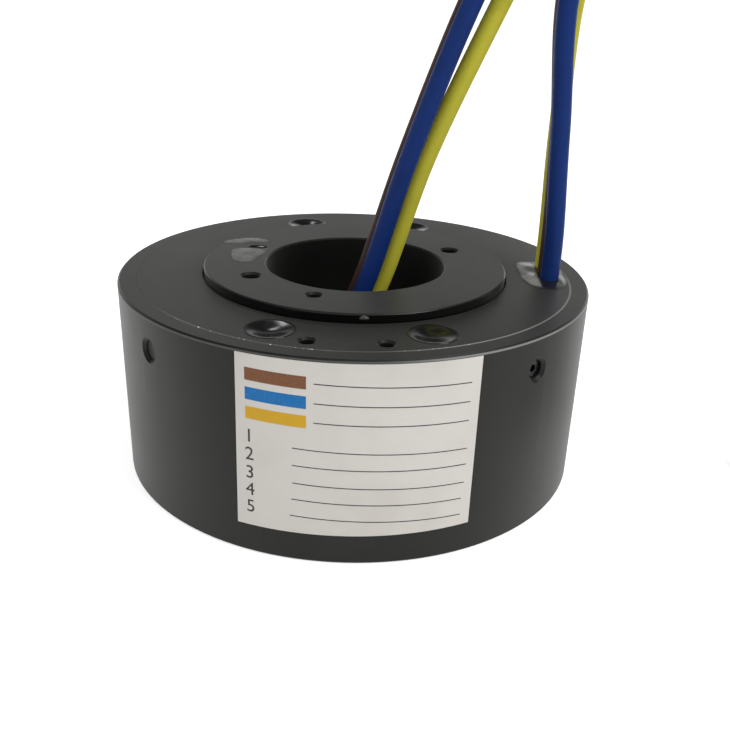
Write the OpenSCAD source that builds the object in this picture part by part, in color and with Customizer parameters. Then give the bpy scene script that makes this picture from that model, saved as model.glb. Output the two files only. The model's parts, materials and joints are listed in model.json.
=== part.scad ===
// Through-bore slip ring with three circuits.
// The housing stands still. The rotor turns in it on two thin ball bearings.
// Millimetres, +Z up, origin on the axis at the underside of the housing.

/* [Housing] */
// Outside diameter of the housing
housing_d = 91; // [89:0.5:100]
// Height of the housing and its top cover
housing_h = 37.8; // [37:0.1:44]
// Wall of the housing round the top cover
housing_wall = 3.5; // [3:0.1:4]
// Height of the inside step that carries the cover's skirt, measured from the top face
skirt_h = 10; // [9:0.1:11]
// Width of that step
step_w = 0.8; // [0.5:0.1:1.2]
// Thickness of the housing's floor
floor_t = 5; // [4.5:0.1:6]
// Bevel on the housing's outer edges
housing_bevel = 0.4; // [0.2:0.1:0.8]

/* [Top cover] */
// Thickness of the cover plate
cover_t = 6; // [5.8:0.1:7]
// Width of the skirt under the rim of the cover
skirt_w = 3; // [2.5:0.1:3.2]
// Azimuths of the set screws through the housing wall
cover_screw_az = [-138.6, -45, 42, 135];
// Depth of the set screws' axes under the top face
cover_screw_drop = 6.2; // [5.8:0.1:6.6]
// Diameter of the set screws
cover_screw_d = 3; // [2.5:0.5:4]
// How much wider than the screws their holes through the housing are
cover_screw_room = 0.5; // [0.3:0.1:0.8]
// Depth of each set screw under the outside of the housing
cover_screw_sink = 1.1; // [0.5:0.1:1.8]

/* [Bearings] */
// Width of a ball bearing
bearing_w = 7; // [6.5:0.1:7.2]
// Height of a bearing's section, from its bore to its outside
bearing_section = 7.5; // [7.3:0.1:7.6]
// Thickness of each bearing ring at its shoulders
race_t = 2.4; // [2:0.1:2.5]
// Diameter of the balls
ball_d = 3.9; // [3.4:0.1:4]
// Number of balls in a bearing
ball_count = 18; // [12:1:20]
// Width of the ball cage
cage_w = 5.2; // [4.8:0.1:6]
// Radial thickness of the ball cage
cage_t = 1.8; // [1.4:0.1:2]
// Height of the lip that holds a bearing's outer ring
lip_t = 3.5; // [3:0.1:3.8]
// Wall of the bosses round the bearings' outer rings
boss_wall = 1.2; // [1:0.1:1.3]

/* [Rotor] */
// Diameter of the bore that the shaft goes through
bore_d = 35; // [33:0.5:35.5]
// Wall of the rotor sleeve under the bearings
sleeve_wall = 7.5; // [7:0.1:8]
// Height of the rotor's lower end above the housing's underside
rotor_lift = 0.5; // [0.3:0.1:0.8]
// Height of the rotor's top face above the housing's top face
rotor_proud = 1.65; // [1.2:0.05:2.2]
// Step from the bearing seat in to the flange ring's seat
spigot_step = 1; // [0.5:0.1:1.2]
// Radial width of the flange ring
flange_w = 5.45; // [5:0.05:5.8]
// Gap between the flange ring and the hole in the cover
flange_gap = 0.35; // [0.3:0.05:0.5]
// Radial width of the ring nut under the lower bearing
nut_w = 4.4; // [3.8:0.1:4.5]
// Number of spanner slots in the ring nut
nut_slots = 4; // [2:1:6]
// Width of a spanner slot
nut_slot_w = 4; // [3:0.5:5]
// Depth of a spanner slot
nut_slot_depth = 1.2; // [0.8:0.1:1.5]
// Bevel on the rotor's edges
rotor_bevel = 0.3; // [0.2:0.1:0.5]

/* [Contact rings] */
// Number of circuits
circuits = 3; // [2:1:3]
// Wall of the insulating former under the contact rings
former_t = 1.5; // [1.4:0.1:1.8]
// Radial depth of a contact ring
ring_depth = 4.5; // [4:0.1:4.7]
// Width of a contact ring
ring_w = 3; // [2.8:0.1:3.2]
// How far the insulating rings stand above the contact rings
insulator_rise = 1; // [0.6:0.1:1.2]

/* [Brushes] */
// Azimuths of the two brush blocks
block_az = [-89, 91];
// Half of the angle that a brush block spans
block_half = 28; // [27:1:30]
// Width of a brush, along the ring
brush_w = 6; // [5:0.1:7]
// Clearance of a brush between two insulating rings, on each side
brush_side_gap = 0.25; // [0.15:0.05:0.3]
// Length of a brush, outward from the ring
brush_len = 5; // [4.8:0.1:5.2]
// Thickness of the leaf springs
leaf_t = 0.3; // [0.2:0.05:0.35]
// Height of the leaf springs
leaf_h = 2; // [1.6:0.1:2.2]
// Rise of a leaf spring's bow, from the brush out to the flat of the spring
leaf_bow = 3.5; // [3:0.1:3.6]

/* [Brush block screws] */
// Azimuths of the screws that hold the brush blocks to the cover
block_screw_az = [-111, -67, 71.5, 110];
// Radius of the circle that these screws stand on
block_screw_r = 36; // [35.8:0.1:36.1]
// Diameter of the counterbores for their heads
counterbore_d = 8; // [7:0.1:8.2]
// Depth of the counterbores
counterbore_depth = 3; // [2.6:0.1:3.1]
// Diameter of the screws
block_screw_d = 3; // [2.5:0.1:3]
// Diameter of the screw heads
block_screw_head_d = 5.5; // [5:0.1:6]
// Height of the screw heads
block_screw_head_h = 2; // [1.5:0.1:2.1]
// Length of the screws under their heads
block_screw_len = 9; // [7:0.5:12]
// How far the resin over the screws lies under the cover's face
resin_sink = 0.3; // [0.1:0.1:0.5]

/* [Fastening holes] */
// Azimuth of the first tapped hole in the rotor; the second is opposite
rotor_hole_az = -150.5; // [-160:0.5:-140]
// Diameter of the circle of tapped holes in the rotor
rotor_hole_pcd = 44; // [43:0.5:45]
// Core diameter of the tapped holes in the rotor
rotor_hole_d = 3.3; // [2.5:0.1:3.3]
// Depth of the tapped holes in the rotor
rotor_hole_depth = 8; // [6:0.5:10]
// Distance between the two tapped holes in the cover
bracket_hole_spacing = 12.8; // [11:0.1:13]
// Distance of those two holes from the axis of the rotor
bracket_hole_y = 38.1; // [37.6:0.1:38.3]
// Core diameter of the tapped holes in the cover
bracket_hole_d = 2.5; // [2:0.1:2.6]
// Depth of the tapped holes in the cover
bracket_hole_depth = 5; // [4:0.1:5.3]
// Width of the countersink round each tapped hole
countersink = 0.4; // [0.2:0.1:0.5]

/* [Filling holes] */
// Azimuths of the filling hole and the vent hole in the rotor's face
fill_az = [-108, 160];
// Radius of the circle that they stand on
fill_r = 21.5; // [21:0.1:21.8]
// Diameter of the plug screw in the filling hole
plug_screw_d = 2.5; // [2:0.1:2.6]
// Depth of the plug screw under the rotor's face
plug_screw_sink = 0.8; // [0.4:0.1:1.5]
// Diameter of the resin in the vent hole
vent_d = 4; // [3:0.1:4]
// Depth of the filling hole and the vent hole
fill_depth = 9; // [6:0.5:10]

/* [Leads] */
// Outside diameter of a lead
lead_d = 3.6; // [3:0.1:3.6]
// Diameter of the tinned end of a lead
tip_d = 2; // [1.5:0.1:2.4]
// Length of the tinned end of a lead
tip_len = 8; // [5:0.5:10]
// Distance between the leads of one bunch at their exit
lead_pitch = 3.8; // [3.7:0.1:3.9]
// Clearance round the leads in their two exits
lead_room = 0.5; // [0.3:0.1:0.6]
// Clearance over and under the rotor leads in the window of the bore
window_room = 0.2; // [0.1:0.1:0.3]
// Depth of the resin in that window, behind the wall of the bore
window_sink = 0.9; // [0.6:0.1:1.2]
// Height of the rotor leads' axes where they leave the bore wall
window_z = 12.8; // [12.7:0.1:13.2]
// Depth of the relief turned into the bore at the lead window
relief_depth = 1.5; // [1.2:0.1:2]
// Height of that relief
relief_h = 6.4; // [6:0.1:7]
// Diameter of the copper links inside the housing
link_d = 1.6; // [1.2:0.1:2]
// Diameter of the solder beads at the links' corners
solder_d = 2.5; // [2.3:0.1:2.6]
// Diameter of the tails from the contact rings to the leads
tail_d = 1; // [0.8:0.1:1.1]

/* [Label] */
// Azimuths of the label's two ends
label_az = [-113, -61.5];
// Heights of the label's lower and upper edges
label_z = [5.7, 37.2];
// Thickness of the label
label_t = 0.1; // [0.05:0.05:0.15]

/* [Hidden] */
// Clearance of parts that are pressed, bonded or screwed together
fit = 0.02;
// Clearance of the brushes on the contact rings
brush_gap = 0.08;
// Clearance of the balls in their tracks and in the cage
ball_gap = 0.12;
// Gap between the brush blocks and what surrounds them
block_gap = 0.4;
// Clearance of the leaf springs in their slots, on each side
leaf_gap = 0.1;
// Step that keeps the ring nut clear of the bearing's outer ring and of the table
nut_step = 0.4;
// Height of the flange ring's foot on the bearing's inner ring
foot_h = 1;
// Width of the countersink at the outer end of each cover screw's hole
screw_sink_w = 0.6;
// Bevels on the bearing rings, the insulating rings and the contact rings
race_bevel = 0.3;
insulator_bevel = 0.2;
contact_bevel = 0.15;
// Widening of a cut past the face that it starts from
cut = 1;
$fn = 96;

// Radii, from the bore outward
bore_r = bore_d / 2;
seat_r = bore_r + sleeve_wall;
spigot_r = seat_r - spigot_step;
flange_r = spigot_r + flange_w;
hole_r = flange_r + flange_gap;
bearing_r = seat_r + bearing_section;
pitch_r = seat_r + bearing_section / 2;
boss_r = bearing_r + boss_wall;
former_r = seat_r + former_t;
ring_r = former_r + ring_depth;
insulator_r = ring_r + insulator_rise;
housing_r = housing_d / 2;
cover_r = housing_r - housing_wall;
cavity_r = cover_r - step_w;
skirt_r = cover_r - skirt_w;
block_in_r = boss_r + block_gap;
block_out_r = cavity_r - block_gap;
relief_r = bore_r + relief_depth;

// Heights
rotor_top = housing_h + rotor_proud;
plate_z = housing_h - cover_t;
skirt_z = housing_h - skirt_h;
lower_z = lip_t;
upper_z = housing_h - lip_t - bearing_w;
stack_z = lower_z + bearing_w;
stack_h = upper_z - stack_z;
insulator_w = (stack_h - circuits * ring_w) / (circuits + 1);
block_z = stack_z - insulator_w / 2;
cover_screw_z = housing_h - cover_screw_drop;
function insulator_z(i) = stack_z + i * (insulator_w + ring_w);
function ring_z(i) = insulator_z(i) + insulator_w;
function ring_mid(i) = ring_z(i) + ring_w / 2;

// Brushes and their springs
brush_h = ring_w - 2 * brush_side_gap;
brush_in_r = ring_r + brush_gap;
brush_out_r = ring_r + brush_len;
leaf_r = brush_out_r + leaf_bow;
bow_h = leaf_h - 4 * leaf_gap;
bow_half = brush_w / 2 - 4 * leaf_gap;
// Degrees by which a leaf spring stands out of its block, and reaches past the brush at its blind end
leaf_out = 1;
leaf_head = 5;
leaf_tail = block_half + leaf_out;

// Lead exits: the stator's slot in the cover and the rotor's window in the bore
exit_x = 38.3;
exit_y = 2.65;
slot_r = lead_d / 2 + lead_room;
resin_z = housing_h - resin_sink;
window_w = 2 * lead_pitch + lead_d + 2 * lead_room;
window_h = lead_d + 2 * window_room;
window_face = bore_r + window_sink;

// Wires inside the part: the rings' tails in the former, and the links between the brush blocks.
// A wire's end lies solder_lap past what it is soldered to.
solder_lap = 0.4;
link_room = 0.5;
tail_r = seat_r + tail_d / 2 + solder_lap;
tail_root = seat_r - tail_d / 2;
link_r = block_in_r + link_d / 2 + link_room;
link_end_r = leaf_r + leaf_t + solder_lap;

// Routes of the leads: out of the exit, up, over in an arch and down on to the table
stator_brown_route = [
    [38.3, 2.7, 37.5], [38.3, 2.7, 46], [37.6, 2.7, 66], [36.3, 2.7, 92], [41.5, 2.7, 105.5],
    [54, 2.7, 111.2], [67.2, 2.7, 105.5], [73, 2.7, 92], [85, 2.7, 28], [86.9, 1.6, 13],
    [87.5, -2.3, 4.5], [86.9, -9.9, 1.9], [82.2, -30, 1.9]];
stator_blue_route = [
    [38.3, -1.1, 37.5], [38.3, -1.1, 46], [37.1, -1.1, 66], [36.2, -1.1, 92], [41.5, -1.1, 105.2],
    [54, -1.1, 111], [67, -1.1, 105.3], [72.5, -1.1, 92], [81.5, -1.1, 28], [82.8, -2.4, 13],
    [82.9, -6.5, 4.5], [81.9, -14.4, 1.9], [76, -33.8, 1.9]];
stator_earth_route = [
    [38.3, 6.5, 37.5], [38.3, 6.5, 46], [38, 6.5, 66], [38.9, 6.5, 92], [43.8, 6.5, 104.6],
    [55.5, 6.5, 110], [68.5, 6.5, 105], [75, 6.5, 92], [88.6, 6.5, 28], [91.2, 5.2, 13],
    [91.8, 1.6, 4.5], [91.6, -6.4, 1.9], [88, -26.3, 1.9]];
rotor_brown_route = [
    [-18.4, 3.8, 12.8], [-14, 3.8, 12.8], [-8, 3.9, 16.4], [-2.6, 3.6, 26], [1.4, 2.5, 35.5],
    [9, 2.2, 60], [19, 2, 88], [29, 2, 110.5], [43.6, 2, 127], [64, 2, 133.5],
    [84.6, 2, 126.5], [97.5, 2, 105], [104.4, 2, 60], [105.3, 1, 14], [105.5, -4.2, 4.5],
    [104.8, -12.8, 1.9], [102.9, -23.7, 1.9]];
rotor_blue_route = [
    [-18.4, -3.8, 12.8], [-14, -3.8, 12.8], [-8, -3.6, 16.2], [-2, -2.6, 26], [2.1, -2, 35.5],
    [9.4, -2, 60], [19.4, -2, 88], [29.5, -2, 110], [44, -2, 126.3], [64, -2, 132.5],
    [84, -2, 125.3], [96, -2, 104], [100.8, -2, 60], [101.4, -2.8, 14], [101.4, -7.9, 4.5],
    [100.3, -16.8, 1.9], [97.7, -28.1, 1.9]];
rotor_earth_route = [
    [-18.4, 0, 12.8], [-14, 0, 12.8], [-6, 0.4, 17], [1.4, 0.6, 27], [5.3, 1.2, 35.5],
    [12.9, 1.2, 60], [24.7, 1.2, 88], [34, 1.2, 108], [47, 1.2, 122.3], [64, 1.2, 128.2],
    [81, 1.2, 121.8], [92, 1.2, 104], [97, 1.2, 60], [97.6, 0, 14], [97.7, -5.1, 4.5],
    [96.8, -13.6, 1.9], [94.4, -25.4, 1.9]];

// ---------------------------------------------------------------- shared shapes

// Places its children at an azimuth and a radius, turned to face outward
module out_at(az, r, z = 0) {
    rotate([0, 0, az]) translate([r, 0, z]) children();
}

// A turned ring with both outer edges bevelled
module turned_ring(r_in, r_out, z, h, bevel) {
    rotate_extrude()
        polygon([[r_in, z], [r_out - bevel, z], [r_out, z + bevel],
                 [r_out, z + h - bevel], [r_out - bevel, z + h], [r_in, z + h]]);
}

// A sector of a flat ring, from one azimuth to another
module ring_sector(r_in, r_out, z, h, az_from, az_to) {
    rotate([0, 0, az_from])
        rotate_extrude(angle = az_to - az_from)
            translate([r_in, z]) square([r_out - r_in, h]);
}

// A round hole from z down to a depth, with a countersunk mouth
module tapped_hole(d, z, depth) {
    translate([0, 0, z - depth]) cylinder(d = d, h = depth + cut);
    translate([0, 0, z - countersink])
        cylinder(r1 = d / 2, r2 = d / 2 + countersink + cut, h = countersink + cut);
}

// A straight slot with round ends along Y
module slot_y(r, half_length, z, h) {
    for (side = [-1, 1]) translate([0, side * half_length, z]) cylinder(r = r, h = h);
    translate([-r, -half_length, z]) cube([2 * r, 2 * half_length, h]);
}

// A round wire from one point to another
module wire(from, to, d) {
    along = to - from;
    translate(from)
        rotate([0, acos(along[2] / norm(along)), atan2(along[1], along[0])])
            cylinder(d = d, h = norm(along), $fn = 24);
}

// ---------------------------------------------------------------- tube along a route

function unit(v) = v / norm(v);
function heading(route, i) =
    unit(route[min(i + 1, len(route) - 1)] - route[max(i - 1, 0)]);
function square_to(v, along) = unit(v - (v * along) * along);
function side_vectors(route, start) =
    let (last = len(route) - 1)
    [for (i = 0, side = square_to(start, heading(route, 0)); i <= last;
          side = square_to(side, heading(route, min(i + 1, last))), i = i + 1) side];

// Eight-sided tube whose rings stand square to the route at each of its points
module lead(route) {
    sides = 8;
    rings = len(route);
    side = side_vectors(route, [0, 1, 0]);
    points = [for (i = [0 : rings - 1])
        let (up = cross(heading(route, i), side[i]))
        for (k = [0 : sides - 1])
            route[i] + lead_d / 2 * (cos(k * 360 / sides) * side[i] + sin(k * 360 / sides) * up)];
    walls = [for (i = [0 : rings - 2], k = [0 : sides - 1])
        let (a = i * sides + k, b = i * sides + (k + 1) % sides)
        [a, a + sides, b + sides, b]];
    start_cap = [for (k = [0 : sides - 1]) k];
    end_cap = [for (k = [sides - 1 : -1 : 0]) (rings - 1) * sides + k];
    polyhedron(points, concat([start_cap], walls, [end_cap]), convexity = 10);
}

// Tinned conductor that stands out of the end of a lead
module tip(route) {
    last = len(route) - 1;
    end = route[last];
    wire(end, end + tip_len * unit(end - route[last - 1]), tip_d);
}

module stator_lead_tips() {
    color("#c9cacb")
        for (route = [stator_brown_route, stator_blue_route, stator_earth_route]) tip(route);
}

module rotor_lead_tips() {
    color("#c9cacb")
        for (route = [rotor_brown_route, rotor_blue_route, rotor_earth_route]) tip(route);
}

// ---------------------------------------------------------------- housing and cover

module housing() {
    color("#2b2c2e") difference() {
        rotate_extrude()
            polygon([
                [hole_r, 0], [housing_r - housing_bevel, 0], [housing_r, housing_bevel],
                [housing_r, housing_h - housing_bevel], [housing_r - housing_bevel, housing_h],
                [cover_r, housing_h], [cover_r, skirt_z], [cavity_r, skirt_z],
                [cavity_r, floor_t], [boss_r, floor_t], [boss_r, lower_z + bearing_w],
                [bearing_r, lower_z + bearing_w], [bearing_r, lower_z], [hole_r, lower_z]]);
        for (az = cover_screw_az)
            out_at(az, cover_r - cut, cover_screw_z) rotate([0, 90, 0])
                {
                cylinder(d = cover_screw_d + cover_screw_room, h = housing_wall + 2 * cut);
                translate([0, 0, housing_r - cover_r + cut - screw_sink_w])
                    cylinder(d1 = cover_screw_d + cover_screw_room,
                             d2 = cover_screw_d + cover_screw_room + 2 * (screw_sink_w + cut),
                             h = screw_sink_w + cut);
            }
    }
}

module top_cover() {
    r = cover_r - fit;
    color("#303133") difference() {
        rotate_extrude()
            polygon([
                [hole_r, housing_h], [r, housing_h], [r, skirt_z], [skirt_r, skirt_z],
                [skirt_r, plate_z], [boss_r, plate_z], [boss_r, upper_z], [bearing_r, upper_z],
                [bearing_r, upper_z + bearing_w], [hole_r, upper_z + bearing_w]]);
        for (az = cover_screw_az)
            out_at(az, skirt_r - cut, cover_screw_z) rotate([0, 90, 0])
                cylinder(d = cover_screw_d + 2 * fit, h = skirt_w + 2 * cut);
        for (az = block_screw_az) out_at(az, block_screw_r) {
            translate([0, 0, plate_z - cut])
                cylinder(d = block_screw_d + 2 * fit, h = cover_t + 2 * cut);
            translate([0, 0, housing_h - counterbore_depth])
                cylinder(d = counterbore_d, h = counterbore_depth + cut);
        }
        for (side = [-1, 1]) translate([side * bracket_hole_spacing / 2, -bracket_hole_y, 0])
            tapped_hole(bracket_hole_d, housing_h, bracket_hole_depth);
        translate([exit_x, exit_y, 0])
            slot_y(slot_r, lead_pitch, skirt_z - cut, skirt_h + 2 * cut);
    }
}

// Hexagon socket set screws that lock the cover in the housing
module cover_set_screws() {
    socket_d = cover_screw_d / 2;
    outer = housing_r - cover_screw_sink;
    color("#5b5d60") for (az = cover_screw_az)
        out_at(az, skirt_r, cover_screw_z) rotate([0, 90, 0]) difference() {
            cylinder(d = cover_screw_d, h = outer - skirt_r);
            translate([0, 0, outer - skirt_r - socket_d])
                cylinder(d = socket_d, h = socket_d + cut, $fn = 6);
        }
}

module label() {
    color("#cfd0cd")
        ring_sector(housing_r, housing_r + label_t, label_z[0], label_z[1] - label_z[0],
                    label_az[0], label_az[1]);
}

// ---------------------------------------------------------------- bearings

// The ring of a bearing between two radii, with its ball track
module race(r_in, r_out, z) {
    color("#9a9c9f") difference() {
        turned_ring(r_in, r_out, z, bearing_w, race_bevel);
        rotate_extrude() translate([pitch_r, z + bearing_w / 2]) circle(d = ball_d + 2 * ball_gap);
    }
}

module inner_race(z) { race(seat_r + fit, seat_r + race_t, z); }
module outer_race(z) { race(bearing_r - race_t, bearing_r - fit, z); }

module balls(z) {
    color("#c4c6c8") for (i = [0 : ball_count - 1])
        out_at(i * 360 / ball_count, pitch_r, z + bearing_w / 2) sphere(d = ball_d, $fn = 32);
}

module cage(z) {
    color("#b08d4f") difference() {
        translate([0, 0, z + bearing_w / 2 - cage_w / 2]) difference() {
            cylinder(r = pitch_r + cage_t / 2, h = cage_w);
            translate([0, 0, -cut]) cylinder(r = pitch_r - cage_t / 2, h = cage_w + 2 * cut);
        }
        for (i = [0 : ball_count - 1]) out_at(i * 360 / ball_count, pitch_r, z + bearing_w / 2)
            sphere(d = ball_d + 2 * ball_gap, $fn = 32);
    }
}

// ---------------------------------------------------------------- brushes

// Moulded holder under the cover, with a pocket and a spring slot for each circuit
module brush_block(az, turn) {
    color("#6e5a3a") difference() {
        union() {
            ring_sector(block_in_r, block_out_r, block_z, skirt_z - block_gap - block_z,
                        az - block_half, az + block_half);
            ring_sector(block_in_r, skirt_r - block_gap, block_z, plate_z - fit - block_z,
                        az - block_half, az + block_half);
        }
        for (i = [0 : circuits - 1]) {
            out_at(az, 0, ring_mid(i) - brush_h / 2 - fit)
                translate([block_in_r - cut, -brush_w / 2 - fit, 0])
                    cube([leaf_r - block_in_r + cut, brush_w + 2 * fit, brush_h + 2 * fit]);
            leaf_slot(az, turn, i);
        }
        for (screw = block_screw_az) out_at(screw, block_screw_r,
                housing_h - counterbore_depth - block_screw_len - block_gap)
            cylinder(d = block_screw_d + 2 * fit, h = block_screw_len + cover_t);
    }
}

// Slot for a leaf spring and its tail, from the pocket to the end of the block
module leaf_slot(az, turn, i) {
    blind = leaf_head + 2 * leaf_out;
    open = leaf_tail + leaf_out;
    ring_sector(leaf_r - 2 * leaf_gap, leaf_r + leaf_t + 2 * leaf_gap,
                ring_mid(i) - leaf_h / 2 - leaf_gap, leaf_h + 2 * leaf_gap,
                turn > 0 ? az - blind : az - open, turn > 0 ? az + open : az + blind);
}

// Block of silver graphite, hollowed to the contact ring
module brush(az, i) {
    color("#4a4a4c") difference() {
        out_at(az, 0, ring_mid(i) - brush_h / 2)
            translate([ring_r - cut, -brush_w / 2, 0])
                cube([brush_out_r - ring_r + cut, brush_w, brush_h]);
        translate([0, 0, ring_mid(i) - brush_h])
            cylinder(r = brush_in_r, h = 2 * brush_h);
    }
}

// Leaf spring: a bow against the brush and a tail that ends at the circuit's link
module spring(az, turn, i) {
    bow_r = (bow_half * bow_half + leaf_bow * leaf_bow) / (2 * leaf_bow);
    color("#b9803f") union() {
        ring_sector(leaf_r, leaf_r + leaf_t, ring_mid(i) - leaf_h / 2, leaf_h,
                    turn > 0 ? az - leaf_head : az - leaf_tail,
                    turn > 0 ? az + leaf_tail : az + leaf_head);
        out_at(az, 0, ring_mid(i) - bow_h / 2) intersection() {
            translate([brush_out_r + bow_r, 0, 0]) difference() {
                cylinder(r = bow_r, h = bow_h);
                translate([0, 0, -cut]) cylinder(r = bow_r - leaf_t, h = bow_h + 2 * cut);
            }
            translate([brush_out_r - cut, -bow_half, -cut])
                cube([leaf_bow + cut + leaf_t / 2, 2 * bow_half, bow_h + 2 * cut]);
        }
    }
}

// Bare copper wire from the front spring past the lead's resin to the rear spring
module circuit_link(i) {
    z = ring_mid(i);
    past_tail = leaf_tail + asin((link_d / 2 + fit) / leaf_r);
    ends = [block_az[0] + past_tail, block_az[1] - past_tail];
    lead_y = exit_y + (i - 1) * lead_pitch;
    lead_az = atan2(lead_y, exit_x);
    lead_r = norm([exit_x, lead_y]);
    color("#b87443") union() {
        rotate([0, 0, ends[0]]) rotate_extrude(angle = ends[1] - ends[0])
            translate([link_r, z]) circle(d = link_d, $fn = 24);
        for (az = ends) out_at(az, 0, z)
            wire([link_r, 0, 0], [link_end_r, 0, 0], link_d);
        out_at(lead_az, 0, z) wire([link_r, 0, 0], [lead_r, 0, 0], link_d);
        wire([exit_x, lead_y, z], [exit_x, lead_y, plate_z - fit], link_d);
        for (az = concat(ends, lead_az)) out_at(az, link_r, z) sphere(d = solder_d, $fn = 24);
        out_at(lead_az, lead_r, z) sphere(d = solder_d, $fn = 24);
    }
}

module block_screws() {
    color("#8d9094") for (az = block_screw_az)
        out_at(az, block_screw_r, housing_h - counterbore_depth) {
            translate([0, 0, -block_screw_len]) cylinder(d = block_screw_d, h = block_screw_len + cut);
            difference() {
                cylinder(d = block_screw_head_d, h = block_screw_head_h);
                translate([0, 0, block_screw_head_h / 2])
                    cylinder(d = block_screw_head_d / 2, h = block_screw_head_h, $fn = 6);
            }
        }
}

// Resin that fills the counterbores over the screws
module screw_resin() {
    color("#3a3b3d") for (az = block_screw_az)
        out_at(az, block_screw_r, housing_h - counterbore_depth) difference() {
            cylinder(d = counterbore_d - 2 * fit, h = counterbore_depth - resin_sink);
            translate([0, 0, -cut])
                cylinder(d = block_screw_head_d + 2 * fit, h = block_screw_head_h + fit + cut);
        }
}

// Resin that seals the stator leads in the cover
module stator_lead_resin() {
    color("#3a3b3d") translate([exit_x, exit_y, 0])
        slot_y(slot_r - fit, lead_pitch, plate_z, resin_z - plate_z);
}

// ---------------------------------------------------------------- rotor

module rotor_sleeve() {
    bevel = rotor_bevel;
    shoulder_z = housing_h - lip_t;
    relief_z = window_z - relief_h / 2;
    color("#26272a") difference() {
        rotate_extrude()
            polygon([
                [bore_r, rotor_lift + bevel], [bore_r + bevel, rotor_lift],
                [seat_r - bevel, rotor_lift], [seat_r, rotor_lift + bevel],
                [seat_r, shoulder_z], [spigot_r, shoulder_z], [spigot_r, rotor_top],
                [bore_r + bevel, rotor_top], [bore_r, rotor_top - bevel],
                [bore_r, relief_z + relief_h], [relief_r, relief_z + relief_h],
                [relief_r, relief_z], [bore_r, relief_z]]);
        for (side = [0, 180]) out_at(rotor_hole_az + side, rotor_hole_pcd / 2)
            tapped_hole(rotor_hole_d, rotor_top, rotor_hole_depth);
        out_at(fill_az[0], fill_r) tapped_hole(plug_screw_d + 2 * fit, rotor_top, fill_depth);
        out_at(fill_az[1], fill_r, rotor_top - fill_depth)
            cylinder(d = vent_d, h = fill_depth + cut);
        lead_window(0);
    }
}

// Window for the rotor leads, through the sleeve and the former behind it
module lead_window(clearance) {
    translate([-former_r - cut, -window_w / 2 + clearance, window_z - window_h / 2 + clearance])
        cube([former_r + cut - bore_r + cut, window_w - 2 * clearance, window_h - 2 * clearance]);
}

// Flange ring on the sleeve's spigot, bearing on the upper bearing's inner ring
module flange_ring() {
    bevel = rotor_bevel;
    foot_z = housing_h - lip_t;
    color("#2f3033") rotate_extrude()
        polygon([
            [spigot_r + fit, foot_z], [seat_r + race_t, foot_z], [seat_r + race_t, foot_z + foot_h],
            [flange_r - bevel, foot_z + foot_h], [flange_r, foot_z + foot_h + bevel],
            [flange_r, rotor_top - bevel], [flange_r - bevel, rotor_top],
            [spigot_r + fit, rotor_top]]);
}

// Ring nut that clamps the bearings and the contact rings on the sleeve
module ring_nut() {
    bottom = rotor_lift + nut_step;
    outer = seat_r + nut_w;
    color("#2b2c2e") difference() {
        rotate_extrude()
            polygon([
                [seat_r + fit, bottom], [outer - rotor_bevel, bottom],
                [outer, bottom + rotor_bevel], [outer, lower_z - nut_step],
                [seat_r + race_t, lower_z - nut_step], [seat_r + race_t, lower_z],
                [seat_r + fit, lower_z]]);
        for (i = [0 : nut_slots - 1]) rotate([0, 0, i * 360 / nut_slots])
            translate([outer - nut_slot_depth, -nut_slot_w / 2, 0])
                cube([nut_slot_depth + cut, nut_slot_w, lower_z + cut]);
    }
}

// Set screw that plugs the filling hole
module plug_screw() {
    color("#1c1d1f") out_at(fill_az[0], fill_r, rotor_top - fill_depth) difference() {
        cylinder(d = plug_screw_d, h = fill_depth - plug_screw_sink);
        translate([0, 0, fill_depth - plug_screw_sink - plug_screw_d / 2])
            cylinder(d = plug_screw_d / 2, h = plug_screw_d, $fn = 6);
    }
}

module vent_resin() {
    color("#55575a") out_at(fill_az[1], fill_r, rotor_top - fill_depth)
        cylinder(d = vent_d - 2 * fit, h = fill_depth - resin_sink);
}

module ring_former() {
    color("#d9d2bd") difference() {
        turned_ring(seat_r + fit, former_r, stack_z, stack_h, 0);
        lead_window(0);
        for (i = [0 : circuits - 1]) tail(i, fit);
    }
}

module contact_ring(i) {
    color("#c9a24a") turned_ring(former_r + fit, ring_r, ring_z(i), ring_w, contact_bevel);
}

module insulating_ring(i) {
    color("#e2dcc8") turned_ring(former_r + fit, insulator_r, insulator_z(i), insulator_w,
                                 insulator_bevel);
}

// Tail of one contact ring, down a groove of the former and in to the lead's resin
module tail(i, grow) {
    y = (i - 1) * lead_pitch;
    d = tail_d + 2 * grow;
    r_x = sqrt(tail_r * tail_r - y * y);
    union() {
        wire([-r_x, y, window_z], [-r_x, y, ring_mid(i) + tail_d / 2], d);
        wire([-tail_root, y, window_z], [-r_x, y, window_z], d);
        wire([-r_x, y, ring_mid(i)], [-former_r - cut, y, ring_mid(i)], d);
    }
}

module ring_tail(i) {
    color("#b87443") difference() {
        tail(i, 0);
        translate([0, 0, stack_z]) difference() {
            cylinder(r = former_r + 2 * cut, h = stack_h);
            translate([0, 0, -cut]) cylinder(r = former_r, h = stack_h + 2 * cut);
        }
    }
}

// Resin that holds the rotor leads in their window
module rotor_lead_resin() {
    color("#3a3b3d") intersection() {
        lead_window(fit);
        translate([-tail_root, -window_w, 0])
            cube([tail_root - window_face, 2 * window_w, window_z + window_h]);
    }
}

// ---------------------------------------------------------------- pieces

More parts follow.
